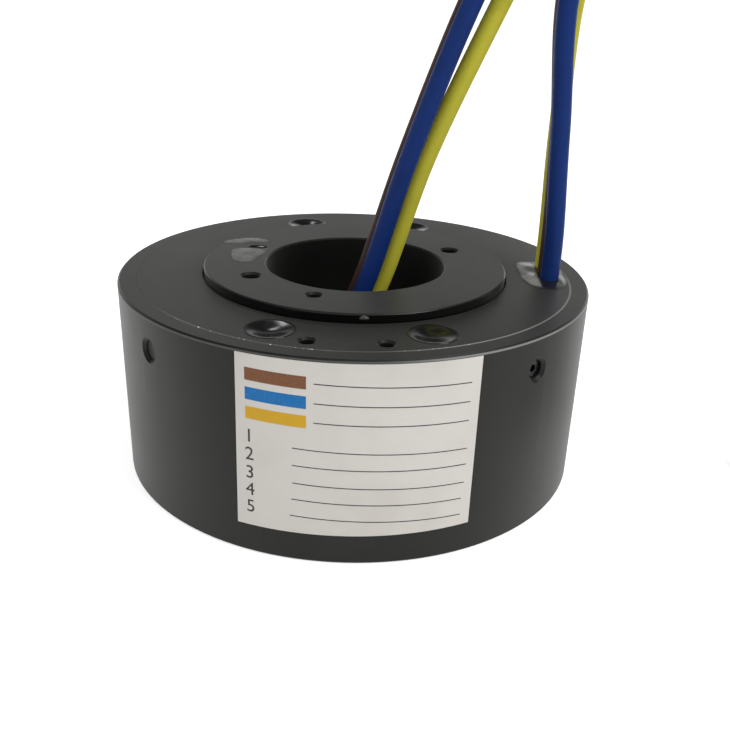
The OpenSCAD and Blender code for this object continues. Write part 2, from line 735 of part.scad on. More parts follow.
housing();
top_cover();
cover_set_screws();
label();
outer_race(lower_z);  // lower_bearing_outer_ring
outer_race(upper_z);  // upper_bearing_outer_ring
brush_block(block_az[0], 1);  // front_brush_block
brush_block(block_az[1], -1);  // rear_brush_block
brush(block_az[0], 0);  // front_brush_1
brush(block_az[0], 1);  // front_brush_2
brush(block_az[0], 2);  // front_brush_3
brush(block_az[1], 0);  // rear_brush_1
brush(block_az[1], 1);  // rear_brush_2
brush(block_az[1], 2);  // rear_brush_3
spring(block_az[0], 1, 0);  // front_spring_1
spring(block_az[0], 1, 1);  // front_spring_2
spring(block_az[0], 1, 2);  // front_spring_3
spring(block_az[1], -1, 0);  // rear_spring_1
spring(block_az[1], -1, 1);  // rear_spring_2
spring(block_az[1], -1, 2);  // rear_spring_3
circuit_link(0);  // circuit_link_1
circuit_link(1);  // circuit_link_2
circuit_link(2);  // circuit_link_3
block_screws();
screw_resin();
stator_lead_resin();
color("#5a3a22") lead(stator_brown_route);  // stator_lead_brown
color("#1e3a85") lead(stator_blue_route);  // stator_lead_blue
color("#c9c23a") lead(stator_earth_route);  // stator_lead_earth
stator_lead_tips();
rotor_sleeve();
flange_ring();
ring_nut();
plug_screw();
vent_resin();
inner_race(lower_z);  // lower_bearing_inner_ring
inner_race(upper_z);  // upper_bearing_inner_ring
ring_former();
contact_ring(0);  // contact_ring_1
contact_ring(1);  // contact_ring_2
contact_ring(2);  // contact_ring_3
insulating_ring(0);  // insulating_ring_1
insulating_ring(1);  // insulating_ring_2
insulating_ring(2);  // insulating_ring_3
insulating_ring(3);  // insulating_ring_4
ring_tail(0);  // ring_tail_1
ring_tail(1);  // ring_tail_2
ring_tail(2);  // ring_tail_3
rotor_lead_resin();
color("#5a3a22") lead(rotor_brown_route);  // rotor_lead_brown
color("#1e3a85") lead(rotor_blue_route);  // rotor_lead_blue
color("#c9c23a") lead(rotor_earth_route);  // rotor_lead_earth
rotor_lead_tips();
balls(lower_z);  // lower_bearing_balls
cage(lower_z);  // lower_bearing_cage
balls(upper_z);  // upper_bearing_balls
cage(upper_z);  // upper_bearing_cage
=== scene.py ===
"""Looks of a through-bore slip ring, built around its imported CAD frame.

Lengths are in millimetres, and scaled to metres where Blender takes them. The origin is on the axis at the
underside of the housing, +Z up, and azimuths are in degrees from +X.
"""

import json
import math

import bpy
import numpy as np

from mathutils import Matrix, Vector

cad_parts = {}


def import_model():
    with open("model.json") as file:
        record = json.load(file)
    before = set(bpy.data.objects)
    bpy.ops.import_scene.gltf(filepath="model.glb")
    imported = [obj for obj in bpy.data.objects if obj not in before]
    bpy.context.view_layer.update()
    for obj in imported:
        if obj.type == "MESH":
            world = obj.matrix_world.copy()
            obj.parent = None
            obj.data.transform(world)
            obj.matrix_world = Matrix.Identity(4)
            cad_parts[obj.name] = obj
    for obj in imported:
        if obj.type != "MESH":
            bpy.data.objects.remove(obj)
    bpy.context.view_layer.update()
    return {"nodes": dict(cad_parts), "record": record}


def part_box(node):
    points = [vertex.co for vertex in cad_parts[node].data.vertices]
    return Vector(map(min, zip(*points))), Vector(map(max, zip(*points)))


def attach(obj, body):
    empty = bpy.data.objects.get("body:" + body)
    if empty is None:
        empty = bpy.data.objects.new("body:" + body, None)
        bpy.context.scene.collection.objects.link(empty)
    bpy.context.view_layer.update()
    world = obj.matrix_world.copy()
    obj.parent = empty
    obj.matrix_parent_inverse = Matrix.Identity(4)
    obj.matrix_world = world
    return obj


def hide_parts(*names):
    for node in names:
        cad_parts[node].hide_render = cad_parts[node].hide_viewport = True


MM = 0.001

# ---------------------------------------------------------------- sizes, as in the CAD part

HOUSING_R = 45.5
HOUSING_H = 37.8
HOUSING_BEVEL = 0.4
COVER_R = 42.0
FLANGE_R = 29.45
ROTOR_TOP = 39.45
ROTOR_BEVEL = 0.3
COUNTERBORE_D = 8.0
COUNTERBORE_DEPTH = 3.0
SCREW_HEAD_H = 2.0
BLOCK_SCREW_R = 36.0
BLOCK_SCREW_AZ = (-111.0, -67.0, 71.5, 110.0)
COVER_SCREW_AZ = -138.6
COVER_SCREW_Z = 31.6
LABEL_R = 45.6
LEAD_D = 3.6
STATOR_LEADS_X = 38.3

# ---------------------------------------------------------------- sizes of what the scene adds

# Depth of the label film's waves, and thickness of the print on it
FILM_WAVE = 0.02
PRINT_T = 0.01

# The label's corners and its five ruled lines, each as azimuth and height on the housing's wall
LABEL_CORNERS = ((-113.0, 5.6), (-61.5, 5.9), (-61.4, 37.15), (-112.5, 37.2))
RULES = (((-100.4, 21.8), (-63.5, 20.8)), ((-100.4, 18.6), (-63.4, 17.8)), ((-100.4, 15.3), (-63.5, 14.3)),
         ((-100.6, 12.2), (-63.9, 11.2)), ((-100.9, 9.0), (-63.8, 8.0)))
RULE_W = 0.17

# The numeral before each ruled line: azimuth, height, and how much lower each one stands than the last
NUMERAL_AZ = -110.8
NUMERAL_H = 2.5
NUMERAL_DROP = 0.15
# Height of a digit of the built-in font as a share of the font's size
DIGIT_SHARE = 0.73

# The wiring key: height and distance of its rows, then the ends of each row's swatch and of its thin line, as
# azimuth and rise over the row's height
KEY_COLOURS = ("brown", "blue", "yellow")
KEY_Z = 33.8
KEY_PITCH = 3.4
SWATCH = ((-110.4, 0.0), (-97.5, -0.25))
SWATCH_H = 2.2
KEY_LINE = ((-96.0, -0.3), (-63.6, -1.0))

# The resin over each block screw leans this far in x and y for a millimetre of its dish's depth
DISH_LEAN = ((-0.5, 0.15), (-1.0, 0.35), (-0.3, 0.1), (0.2, 0.2))

# Smears of epoxy: outline round the stator leads, and outlines behind and before the vent hole
LEAD_SMEAR = ((33.0, 9.6), (37.3, 10.8), (41.4, 7.0), (41.9, 1.5), (41.2, -5.0), (38.5, -7.6), (34.6, -6.4),
              (32.8, -2.0), (32.6, 4.0))
LEAD_SMEAR_H = 0.3
BACK_WIPE = ((-28.2, 10.2), (-25.6, 13.2), (-21.0, 14.6), (-18.0, 12.4), (-20.6, 10.8), (-25.2, 9.4))
FRONT_WIPE = ((-25.0, 6.4), (-21.4, 7.2), (-18.0, 5.8), (-18.6, 2.6), (-20.6, -3.0), (-23.4, -2.6),
              (-25.2, 2.4))
WIPE_H = 0.05
# Thickness of a smear at its rim over the top that it lies on, and distance of the points along its outline
SKIN_T = 0.01
SMEAR_STEP = 0.5

# The drop of epoxy on the flange ring's front edge: its middle and its half sizes
DROP_AT = (2.5, 0.15 - FLANGE_R, 38.75)
DROP_HALF = (0.85, 0.5, 0.45)
# Share of its width that the drop loses towards its top, and gains towards its bottom
DROP_TAPER = 0.25

# The lacquer in the left front screw hole: its radius, its thickness, and the depth of its face in the wall
LACQUER_R = 1.72
LACQUER_T = 0.2
LACQUER_SINK = 0.9

# ---------------------------------------------------------------- camera and studio

# Focal length, and centre of view from the top left corner, both as shares of the square frame's side. Angles
# are in radians.
FOCAL = 1.2439178
VIEW_CENTRE = (0.5181781, 0.5404795)
CAMERA_AT = (4.682, -173.113, 92.445)
YAW, PITCH, ROLL = -0.005, 0.441, 0.040
SENSOR = 36.0

# The floor lies just under the part, so that the two faces don't coincide
FLOOR_SIZE = 20000
FLOOR_DROP = 0.02

# Soft boxes that face a point inside the part: place, side and watts
LAMPS = {
    "key_box": ((420, -260, 560), 350, 2.4),
    "fill_box": ((-500, -350, 350), 300, 0.25),
    "back_box": ((-125, 440, 390), 60, 0.09),
}
LIT_POINT = (0, 0, 20)

# ---------------------------------------------------------------- leads

# Distance of the points along a lead
LEAD_STEP = 1.2
# Each lead: colour slot, body, length in metres, and the route's points from the exit, as in the CAD part
LEADS = {
    "stator_lead_brown": ("lead_brown", "stator", 0.2316, (
        (38.3, 2.7, 37.5), (38.3, 2.7, 46), (37.6, 2.7, 66), (36.3, 2.7, 92), (41.5, 2.7, 105.5),
        (54, 2.7, 111.2), (67.2, 2.7, 105.5), (73, 2.7, 92), (85, 2.7, 28), (86.9, 1.6, 13),
        (87.5, -2.3, 4.5), (86.9, -9.9, 1.9), (82.2, -30, 1.9))),
    "stator_lead_blue": ("lead_blue", "stator", 0.2304, (
        (38.3, -1.1, 37.5), (38.3, -1.1, 46), (37.1, -1.1, 66), (36.2, -1.1, 92), (41.5, -1.1, 105.2),
        (54, -1.1, 111), (67, -1.1, 105.3), (72.5, -1.1, 92), (81.5, -1.1, 28), (82.8, -2.4, 13),
        (82.9, -6.5, 4.5), (81.9, -14.4, 1.9), (76, -33.8, 1.9))),
    "stator_lead_earth": ("lead_earth", "stator", 0.2293, (
        (38.3, 6.5, 37.5), (38.3, 6.5, 46), (38, 6.5, 66), (38.9, 6.5, 92), (43.8, 6.5, 104.6),
        (55.5, 6.5, 110), (68.5, 6.5, 105), (75, 6.5, 92), (88.6, 6.5, 28), (91.2, 5.2, 13),
        (91.8, 1.6, 4.5), (91.6, -6.4, 1.9), (88, -26.3, 1.9))),
    "rotor_lead_brown": ("lead_brown", "rotor", 0.3274, (
        (-18.4, 3.8, 12.8), (-14, 3.8, 12.8), (-8, 3.9, 16.4), (-2.6, 3.6, 26), (1.4, 2.5, 35.5),
        (9, 2.2, 60), (19, 2, 88), (29, 2, 110.5), (43.6, 2, 127), (64, 2, 133.5),
        (84.6, 2, 126.5), (97.5, 2, 105), (104.4, 2, 60), (105.3, 1, 14), (105.5, -4.2, 4.5),
        (104.8, -12.8, 1.9), (102.9, -23.7, 1.9))),
    "rotor_lead_blue": ("lead_blue", "rotor", 0.3250, (
        (-18.4, -3.8, 12.8), (-14, -3.8, 12.8), (-8, -3.6, 16.2), (-2, -2.6, 26), (2.1, -2, 35.5),
        (9.4, -2, 60), (19.4, -2, 88), (29.5, -2, 110), (44, -2, 126.3), (64, -2, 132.5),
        (84, -2, 125.3), (96, -2, 104), (100.8, -2, 60), (101.4, -2.8, 14), (101.4, -7.9, 4.5),
        (100.3, -16.8, 1.9), (97.7, -28.1, 1.9))),
    "rotor_lead_earth": ("lead_earth", "rotor", 0.3135, (
        (-18.4, 0, 12.8), (-14, 0, 12.8), (-6, 0.4, 17), (1.4, 0.6, 27), (5.3, 1.2, 35.5),
        (12.9, 1.2, 60), (24.7, 1.2, 88), (34, 1.2, 108), (47, 1.2, 122.3), (64, 1.2, 128.2),
        (81, 1.2, 121.8), (92, 1.2, 104), (97, 1.2, 60), (97.6, 0, 14), (97.7, -5.1, 4.5),
        (96.8, -13.6, 1.9), (94.4, -25.4, 1.9))),
}


# ---------------------------------------------------------------- shader fields

def srgb(text):
    """The linear colour of a "#rrggbb" value."""
    parts = [int(text[i:i + 2], 16) / 255 for i in (1, 3, 5)]
    return tuple(c / 12.92 if c <= 0.04045 else ((c + 0.055) / 1.055) ** 2.4 for c in parts) + (1.0,)


class Field:
    """A number that a material's nodes work out. Arithmetic on it adds Math nodes."""

    def __init__(self, tree, socket):
        self.tree, self.socket = tree, socket

    def math(self, operation, *others, clamp=False):
        node = self.tree.nodes.new("ShaderNodeMath")
        node.operation, node.use_clamp = operation, clamp
        for i, value in enumerate((self, *others)):
            if isinstance(value, Field):
                self.tree.links.new(value.socket, node.inputs[i])
            else:
                node.inputs[i].default_value = value
        return Field(self.tree, node.outputs[0])

    def __add__(self, other):
        return self.math("ADD", other)

    def __sub__(self, other):
        return self.math("SUBTRACT", other)

    def __mul__(self, other):
        return self.math("MULTIPLY", other)

    __radd__, __rmul__ = __add__, __mul__

    def __rsub__(self, other):
        return (self * -1) + other

    def smooth(self, low, high):
        """0 below low, 1 above high, a smooth ramp between. Low may be above high."""
        node = self.tree.nodes.new("ShaderNodeMapRange")
        node.interpolation_type = "SMOOTHSTEP"
        backward = low > high
        self.tree.links.new(self.socket, node.inputs["Value"])
        node.inputs["From Min"].default_value, node.inputs["From Max"].default_value = sorted((low, high))
        node.inputs["To Min"].default_value = float(backward)
        node.inputs["To Max"].default_value = float(not backward)
        return Field(self.tree, node.outputs["Result"])


def hypot(*fields):
    """The root of the sum of the fields' squares."""
    return sum((f * f for f in fields[1:]), fields[0] * fields[0]).math("SQRT")


class Finish:
    """A material on one Principled shader, with its coordinates in millimetres of the part's frame."""

    def __init__(self, name, colour, roughness, **sockets):
        self.material = bpy.data.materials.new(name)
        self.material.use_nodes = True
        self.tree = self.material.node_tree
        self.shader = self.tree.nodes["Principled BSDF"]
        self.shader.inputs["Roughness"].default_value = roughness
        self.roughness = roughness
        self.colour = self.shader.inputs["Base Color"]
        self.colour.default_value = srgb(colour)
        self.paint = None
        for key, value in sockets.items():
            self.shader.inputs[key.replace("_", " ")].default_value = value
        scale = self.tree.nodes.new("ShaderNodeVectorMath")
        scale.operation = "SCALE"
        scale.inputs["Scale"].default_value = 1 / MM
        where = self.tree.nodes.new("ShaderNodeTexCoord")
        self.tree.links.new(where.outputs["Object"], scale.inputs[0])
        self.place = scale.outputs[0]
        split = self.tree.nodes.new("ShaderNodeSeparateXYZ")
        self.tree.links.new(self.place, split.inputs[0])
        self.x, self.y, self.z = (Field(self.tree, s) for s in split.outputs)

    def attribute(self, name):
        """The value that each of the mesh's points holds under that name."""
        node = self.tree.nodes.new("ShaderNodeAttribute")
        node.attribute_name = name
        return Field(self.tree, node.outputs["Fac"])

    def noise(self, size, detail=3.0, stretch=(1, 1, 1), shift=0.0):
        """Noise from about 0 to 1 with lumps of about that size, longer along an axis by its stretch."""
        mapping = self.tree.nodes.new("ShaderNodeMapping")
        mapping.inputs["Scale"].default_value = [1 / (size * s) for s in stretch]
        mapping.inputs["Location"].default_value = (shift, 2 * shift, 3 * shift)
        self.tree.links.new(self.place, mapping.inputs["Vector"])
        node = self.tree.nodes.new("ShaderNodeTexNoise")
        node.inputs["Scale"].default_value = 1
        node.inputs["Detail"].default_value = detail
        self.tree.links.new(mapping.outputs["Vector"], node.inputs["Vector"])
        return Field(self.tree, node.outputs["Fac"])

    def radius(self):
        """Distance from the part's axis."""
        return hypot(self.x, self.y)

    def edge(self, r, z):
        """Distance from the circle of that radius and height round the axis."""
        return hypot(self.radius() - r, self.z - z)

    def tint(self, colour, amount):
        """Mixes a colour in by a field."""
        node = self.tree.nodes.new("ShaderNodeMix")
        node.data_type = "RGBA"
        under, over = node.inputs[6], node.inputs[7]
        self.tree.links.new(amount.socket, node.inputs["Factor"])
        if self.paint is None:
            under.default_value = self.colour.default_value
        else:
            self.tree.links.new(self.paint, under)
        over.default_value = srgb(colour)
        self.paint = node.outputs[2]
        self.tree.links.new(self.paint, self.colour)

    def rough(self, field):
        """Adds a field to the roughness."""
        self.tree.links.new((field + self.roughness).math("ADD", 0, clamp=True).socket,
                            self.shader.inputs["Roughness"])

    def bump(self, height, depth):
        """Relief: height is a field, and depth the millimetres that 1 of it stands for."""
        node = self.tree.nodes.new("ShaderNodeBump")
        node.inputs["Strength"].default_value = 1
        node.inputs["Distance"].default_value = depth * MM
        self.tree.links.new(height.socket, node.inputs["Height"])
        self.tree.links.new(node.outputs["Normal"], self.shader.inputs["Normal"])


# ---------------------------------------------------------------- materials

def anodised(name, colour, paint_edges):
    """Satin black anodising with a fine grain and faint handling marks. The function it is given paints
    highlights and shade onto the edges, and any burrs, and returns what it adds to the roughness."""
    finish = Finish(name, colour, 0.44, Specular_IOR_Level=0.24, Specular_Tint=(1, 0.985, 0.94, 1),
                    Sheen_Weight=0.14, Sheen_Roughness=0.4, Sheen_Tint=(1, 0.99, 0.95, 1))
    grain = finish.noise(0.12, 2)
    cloud = finish.noise(14, 4)
    finish.tint("#252523", cloud.smooth(0.45, 0.8) * 0.3)
    finish.rough((cloud - 0.5) * 0.1 + (grain - 0.5) * 0.1 + paint_edges(finish))
    finish.bump(grain, 0.006)
    return finish.material


def mark_seam(finish):
    """Painted shade darkens the seam round the cover at the back left, in its gap. A painted highlight
    lightens the seam at the front and right, and the wall's top corner there too. The seam has burrs at the
    front."""
    seam = finish.edge(COVER_R, HOUSING_H)
    corner = finish.edge(HOUSING_R, HOUSING_H - HOUSING_BEVEL)
    front = finish.y.smooth(-22, -32)
    right = finish.x.smooth(4, 18) * finish.y.smooth(14, -2)
    # Painted shade in the seam's gap, at the back and left
    finish.tint("#060606", seam.smooth(0.22, 0.12) * (1 - front) * finish.x.smooth(10, -10))
    # Painted highlight along the seam, at the front and stronger on the right
    finish.tint("#a9aaa7", seam.smooth(0.24, 0.12) * (front * 0.14 + right * 0.34))
    # Painted highlight along the wall's top corner, at the front and stronger on the right
    finish.tint("#b4b5b2", corner.smooth(0.26, 0.1) * (front * 0.14 + right * 0.3))
    speck = finish.noise(0.45, 2, shift=3).smooth(0.6, 0.68)
    patchy = finish.noise(6, 2, shift=9).smooth(0.42, 0.6)
    finish.tint("#e4e5e2", seam.smooth(0.24, 0.14) * speck * patchy * front * finish.x.smooth(34, 12))
    return 0.0


def mark_flange(finish):
    """A painted highlight runs unevenly along the flange ring's top edge, and painted shade darkens its side,
    which is also smoother than its face.
    """
    edge = finish.edge(FLANGE_R, ROTOR_TOP).smooth(0.12, 0.048)
    uneven = finish.noise(5, 4, shift=FLANGE_R).smooth(0.3, 0.7)
    # Painted highlight along the top edge, uneven
    finish.tint("#b4b5b2", edge * uneven * 0.2)
    outside = finish.radius().smooth(FLANGE_R - ROTOR_BEVEL, FLANGE_R - 0.1)
    side = outside * finish.z.smooth(ROTOR_TOP - 0.1, ROTOR_TOP - ROTOR_BEVEL)
    # Painted shade on the side
    finish.tint("#030303", side)
    return side * -0.3


def metal(name, colour, roughness, turned=0.2):
    """Bare metal with the fine turning or drawing lines that run round the axis."""
    finish = Finish(name, colour, roughness, Metallic=1.0)
    lines = finish.noise(turned, 3, stretch=(6, 6, 1))
    finish.tint("#3a3a3a", finish.noise(4, 4).smooth(0.5, 0.9) * 0.35)
    finish.rough((lines - 0.5) * 0.2)
    finish.bump(lines, 0.01)
    return finish.material


def moulded(name, colour, dark, roughness, grain=0.5):
    """Moulded or turned plastic, or pressed powder: mottled, with a fine grain."""
    finish = Finish(name, colour, roughness)
    finish.tint(dark, finish.noise(6 * grain, 5).smooth(0.4, 0.8) * 0.5)
    speckle = finish.noise(grain, 3)
    finish.rough((speckle - 0.5) * 0.15)
    finish.bump(speckle, 0.02)
    return finish.material


def insulation(name, colour, dark, stripe=None):
    """Extruded lead insulation: a soft sheen, faint handling marks and, on the earth lead, a green stripe."""
    finish = Finish(name, colour, 0.48, Specular_IOR_Level=0.12)
    finish.tint(dark, finish.noise(5, 4).smooth(0.45, 0.85) * 0.6)
    if stripe:
        finish.tint(stripe, finish.attribute("round").smooth(0.76, 0.8))
    finish.rough((finish.noise(1.5, 4) - 0.5) * 0.25)
    finish.bump(finish.noise(0.5, 3), 0.01)
    return finish.material


def resin(name, colour, cloud, roughness):
    """Cast epoxy: glossy, with slow waves and a few dull spots."""
    finish = Finish(name, colour, roughness, Specular_IOR_Level=0.4)
    finish.tint(cloud, finish.noise(2.5, 4).smooth(0.45, 0.75) * 0.5)
    finish.rough(finish.noise(1.2, 3).smooth(0.6, 0.85) * 0.15)
    finish.bump(finish.noise(2.4, 1), 0.012)
    return finish.material


def smeared(name, colour, reflection_colour, strength):
    """A skin of epoxy that was wiped over anodising. It is glossy, and a pale painted reflection lightens it
    by that strength, but not at its rim nor along the stator leads' row."""
    finish = Finish(name, colour, 0.24, Specular_IOR_Level=0.4)
    inside = finish.attribute("rim").smooth(1.0, 0.8)
    beside = (finish.x - STATOR_LEADS_X).math("ABSOLUTE").smooth(1.9, 2.6)
    streaks = finish.noise(2.6, 3, stretch=(1, 1.8, 1)).smooth(0.25, 0.6) * 0.6 + 0.4
    # Painted reflection: a pale tint in streaks that lightens the skin
    finish.tint(reflection_colour, inside * beside * streaks * strength)
    finish.rough((1 - inside) * 0.2 + finish.noise(1.4, 3).smooth(0.45, 0.8) * 0.15)
    finish.bump(finish.noise(1.8, 2), 0.03)
    return finish.material


def film(name):
    """Printed label film: warm white, a little uneven where it lies on the housing."""
    finish = Finish(name, "#d2cec8", 0.5, Specular_IOR_Level=0.3)
    finish.tint("#c2bdb6", finish.noise(12, 3).smooth(0.4, 0.8) * 0.6)
    finish.rough((finish.noise(0.6, 3) - 0.5) * 0.15)
    finish.bump(finish.noise(7, 2), 0.05)
    return finish.material


def ink(name, colour):
    """Thermal print: matt, and thinner here and there."""
    finish = Finish(name, colour, 0.6, Specular_IOR_Level=0.2)
    finish.tint("#8a8885", finish.noise(0.5, 3).smooth(0.55, 0.85) * 0.4)
    return finish.material


def make_finishes():
    """Every material by its name. Those of CAD nodes are named after the record's material slots."""
    return {
        "anodised_housing": anodised("anodised_housing", "#111110", mark_seam),
        "anodised_cover": anodised("anodised_cover", "#10100f", mark_seam),
        "anodised_rotor": anodised("anodised_rotor", "#111211", mark_flange),
        "label_film": film("label_film"),
        "label_ink": ink("label_ink", "#3c3b3d"),
        "key_brown": ink("key_brown", "#7a5238"),
        "key_blue": ink("key_blue", "#1f6fb0"),
        "key_yellow": ink("key_yellow", "#cfa22c"),
        "blackened_screw": metal("blackened_screw", "#4a4b4e", 0.3),
        "zinc_screw": metal("zinc_screw", "#b4b6b8", 0.3),
        "potting_resin": resin("potting_resin", "#101010", "#1d1d1c", 0.18),
        # The two epoxy skins below carry a pale painted reflection
        "resin_smear": smeared("resin_smear", "#181817", "#8c8b88", 0.8),
        "resin_wipe": smeared("resin_wipe", "#181817", "#6d6c69", 0.45),
        "bearing_steel": metal("bearing_steel", "#c4c5c6", 0.22),
        "cage_brass": metal("cage_brass", "#c79d4e", 0.32),
        "brush_holder": moulded("brush_holder", "#7a5a36", "#5d4227", 0.5),
        "silver_graphite": moulded("silver_graphite", "#4a4b4d", "#2c2c2e", 0.45, 0.2),
        "spring_bronze": metal("spring_bronze", "#bd8446", 0.28),
        "bare_copper": metal("bare_copper", "#c87a52", 0.3),
        "insulator": moulded("insulator", "#d8d2b8", "#b9b190", 0.45),
        "contact_metal": metal("contact_metal", "#d2aa55", 0.25, 0.1),
        "tinned_copper": metal("tinned_copper", "#c2c4c6", 0.3),
        "lead_brown": insulation("lead_brown", "#43322b", "#30231d"),
        "lead_blue": insulation("lead_blue", "#112e6c", "#0d2252"),
        "lead_earth": insulation("lead_earth", "#bdb73a", "#a39d33", stripe="#4f7a35"),
    }


# ---------------------------------------------------------------- meshes

def mesh_object(name, points, faces, body, finish, slot, replaced=()):
    """A mesh piece from points in millimetres. It rides on a body and may stand for CAD nodes."""
    mesh = bpy.data.meshes.new(name)
    mesh.from_pydata([tuple(float(c) * MM for c in p) for p in points], [], faces)
    mesh.validate()
    mesh.shade_smooth()
    mesh.set_sharp_from_angle(angle=math.radians(40))
    mesh.materials.append(finish)
    piece = bpy.data.objects.new(name, mesh)
    bpy.context.scene.collection.objects.link(piece)
    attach(piece, body)
    if replaced:
        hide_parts(*replaced)
    return piece


def catmull_rom(points, step, closed=False):
    """Points about a step apart on the centripetal Catmull-Rom curve through the given ones."""
    p = [np.array(q, float) for q in points]
    if closed:
        p = [p[-1], *p, p[0], p[1]]
    else:
        p = [2 * p[0] - p[1], *p, 2 * p[-1] - p[-2]]
    path = [p[1]]
    for a, b, c, d in zip(p, p[1:], p[2:], p[3:]):
        t0 = 0.0
        t1 = t0 + np.linalg.norm(b - a) ** 0.5
        t2 = t1 + np.linalg.norm(c - b) ** 0.5
        t3 = t2 + np.linalg.norm(d - c) ** 0.5
        count = max(1, round(np.linalg.norm(c - b) / step))
        for t in np.linspace(t1, t2, count + 1)[1:]:
            ab = (a * (t1 - t) + b * (t - t0)) / (t1 - t0)
            bc = (b * (t2 - t) + c * (t - t1)) / (t2 - t1)
            cd = (c * (t3 - t) + d * (t - t2)) / (t3 - t2)
            abc = (ab * (t2 - t) + bc * (t - t0)) / (t2 - t0)
            bcd = (bc * (t3 - t) + cd * (t - t1)) / (t3 - t1)
            path.append((abc * (t2 - t) + bcd * (t - t1)) / (t2 - t1))
    return np.array(path[:-1] if closed else path)


def tube(name, path, diameter, body, finish, slot, replaced, sides=28):
    """A round tube along a path, with closed ends. Its attribute "round" goes from 0 at the front to 1 at the
    back."""
    along = np.gradient(path, axis=0)
    along /= np.linalg.norm(along, axis=1)[:, None]
    side = np.array([0.0, 1.0, 0.0])
    points, around = [], []
    angles = np.linspace(0, 2 * math.pi, sides, endpoint=False)
    for centre, heading in zip(path, along):
        side = side - heading * (side @ heading)
        side /= np.linalg.norm(side)
        up = np.cross(heading, side)
        for angle in angles:
            points.append(centre + diameter / 2 * (math.cos(angle) * side + math.sin(angle) * up))
            around.append(0.5 + 0.5 * math.cos(angle))
    faces = []
    for a in range(0, (len(path) - 1) * sides, sides):
        b = a + sides
        faces += [(a + k, a + (k + 1) % sides, b + (k + 1) % sides, b + k) for k in range(sides)]
    last = (len(path) - 1) * sides
    faces.append(tuple(reversed(range(sides))))
    faces.append(tuple(range(last, last + sides)))
    piece = mesh_object(name, points, faces, body, finish, slot, replaced)
    layer = piece.data.attributes.new("round", "FLOAT", "POINT")
    layer.data.foreach_set("value", np.array(around, np.float32))
    return piece


def make_leads(finishes):
    """The insulation of the six leads. No part of a lead goes under the floor."""
    for node, (slot, body, length, route) in LEADS.items():
        path = catmull_rom(route, LEAD_STEP)
        path[:, 2] = np.maximum(path[:, 2], LEAD_D / 2)
        piece = tube(node + "_insulation", path, LEAD_D, body, finishes[slot], slot, [node])


# ---------------------------------------------------------------- label

def film_r(azimuth, z):
    """Outer radius of the label film, which waves a little on the wall."""
    wave = 0.6 * math.sin(azimuth / 7) + 0.4 * math.sin(z / 3.1 + azimuth / 11)
    return LABEL_R + FILM_WAVE * (wave - 1)


def on_wall(azimuth, r, z):
    """The point at an azimuth, a radius and a height."""
    a = math.radians(azimuth)
    return (r * math.cos(a), r * math.sin(a), z)


def on_film(azimuth, z, proud=0.0):
    """The point on the label film, or that far in front of it."""
    return on_wall(azimuth, film_r(azimuth, z) + proud, z)


def slab(outer, inner):
    """Points and faces of the closed sheet between two grids of points, rows upwards and columns round."""
    rows, columns = outer.shape[:2]
    count = rows * columns
    index = np.arange(count).reshape(rows, columns)
    faces = []
    for i in range(rows - 1):
        for j in range(columns - 1):
            corners = [int(c) for c in (index[i, j], index[i, j + 1], index[i + 1, j + 1], index[i + 1, j])]
            faces += [tuple(corners), tuple(c + count for c in reversed(corners))]
    rim = [int(c) for c in (*index[0], *index[1:, -1], *index[-1, -2::-1], *index[-2:0:-1, 0])]
    faces += [(b, a, a + count, b + count) for a, b in zip(rim, rim[1:] + rim[:1])]
    return np.concatenate([outer.reshape(-1, 3), inner.reshape(-1, 3)]), faces


def print_mark(name, grid, finish):
    """Print on the film from a grid of (azimuth, height) pairs."""
    outer = np.array([[on_film(a, z, 2 * PRINT_T) for a, z in row] for row in grid])
    inner = np.array([[on_film(a, z, PRINT_T) for a, z in row] for row in grid])
    mesh_object(name, *slab(outer, inner), "stator", finish, "label_film")


def bar(start, end, width, steps=24):
    """Grid of a bar from one (azimuth, height) to another."""
    line = [np.array(start) + (np.array(end) - start) * i / steps for i in range(steps + 1)]
    return [[(a, z - width / 2) for a, z in line], [(a, z + width / 2) for a, z in line]]


def numeral(text, azimuth, z, height, finish):
    """A numeral of the built-in font, wrapped on the film with its foot at that height."""
    curve = bpy.data.curves.new("numeral", "FONT")
    curve.body = text
    curve.size = height / DIGIT_SHARE
    curve.extrude = PRINT_T / 2
    holder = bpy.data.objects.new("numeral", curve)
    mesh = bpy.data.meshes.new_from_object(holder)
    points = []
    for vertex in mesh.vertices:
        x, y, up = vertex.co
        points.append(on_film(azimuth + math.degrees(x / LABEL_R), z + y, 1.5 * PRINT_T + up))
    faces = [tuple(face.vertices) for face in mesh.polygons]
    bpy.data.objects.remove(holder)
    bpy.data.curves.remove(curve)
    bpy.data.meshes.remove(mesh)
    mesh_object("numeral_" + text, points, faces, "stator", finish, "label_film")


